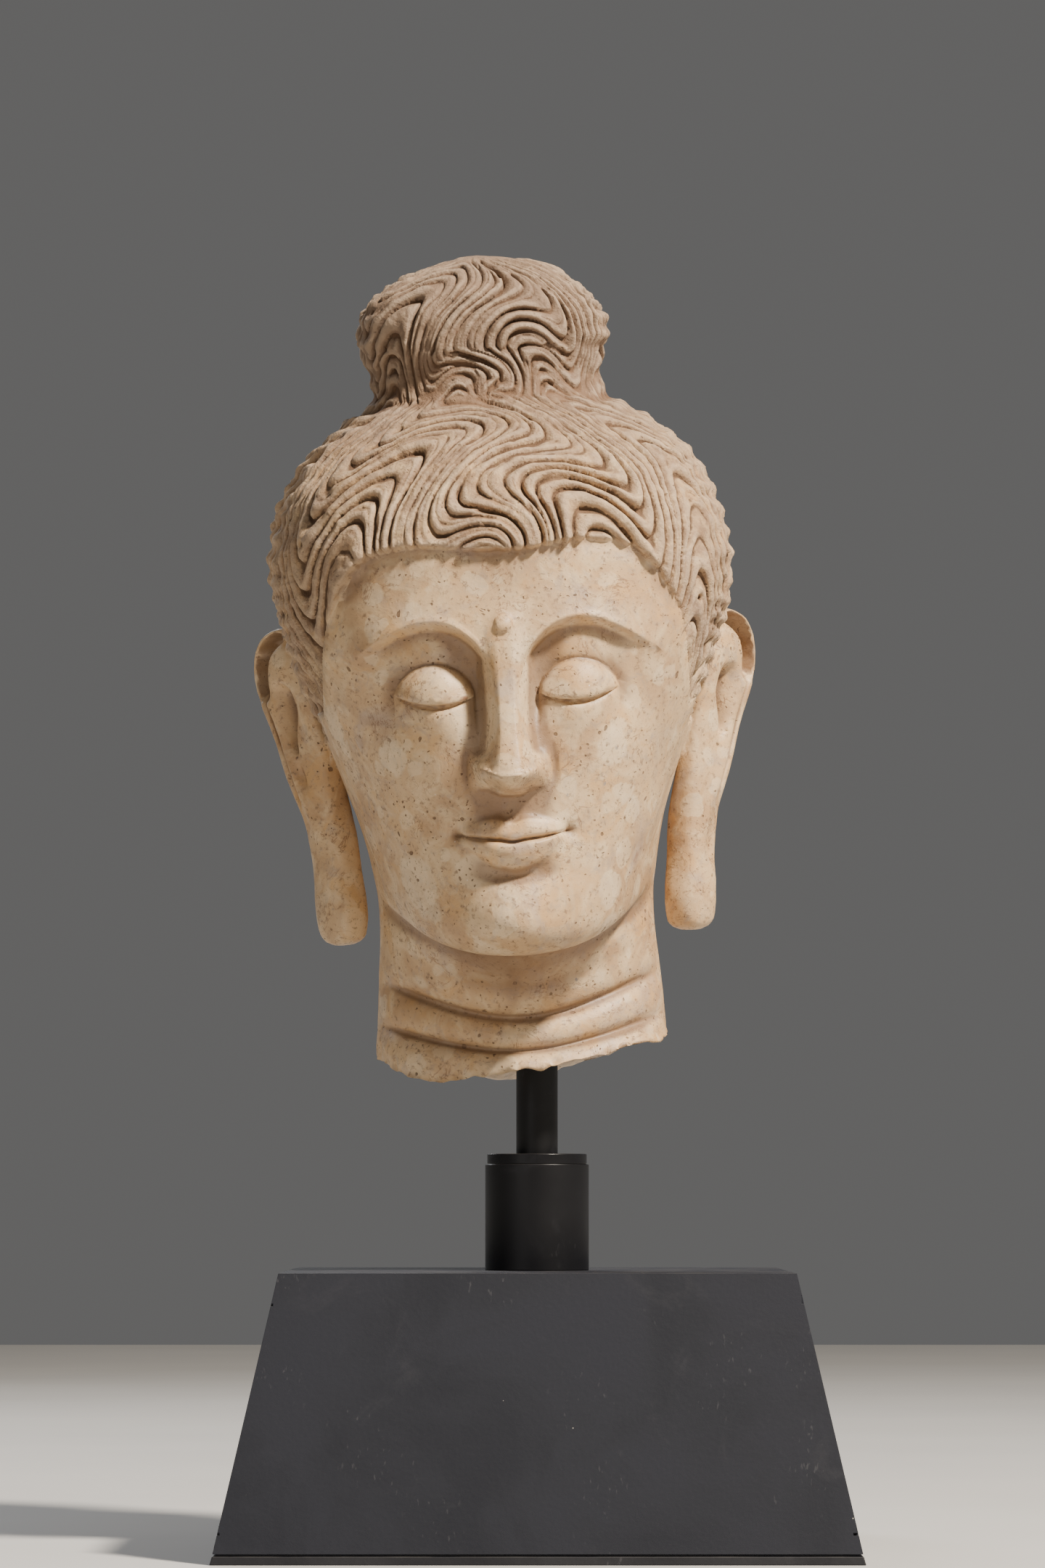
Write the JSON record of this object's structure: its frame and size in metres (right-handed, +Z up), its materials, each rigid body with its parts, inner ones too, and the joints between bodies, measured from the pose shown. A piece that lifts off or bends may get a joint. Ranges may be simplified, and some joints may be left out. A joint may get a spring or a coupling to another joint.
{
  "type": "stone buddha head",
  "caption": "Carved stone Buddha head with wavy hair, a top-knot and long ear lobes, held on a rod over a tapered black display block.",
  "frame": {"origin": "middle of the underside of the base plate", "axes": "+Z up through the rod, the face looks along -Y, +X to the right of a person facing it"},
  "size_m": [0.3, 0.3, 0.6234],
  "materials": {
    "stone": "smoothed pale limestone, rough in the hair",
    "rod_paint": "satin black",
    "sleeve_paint": "satin black",
    "cap_paint": "satin black",
    "block_paint": "matte charcoal-black paint",
    "plate_paint": "matte charcoal-black paint"
  },
  "bodies": {
    "root": {"stone_head": "stone", "support_rod": "rod_paint", "rod_sleeve": "sleeve_paint", "sleeve_cap": "cap_paint", "stand_block": "block_paint", "base_plate": "plate_paint"}
  },
  "joints": []
}
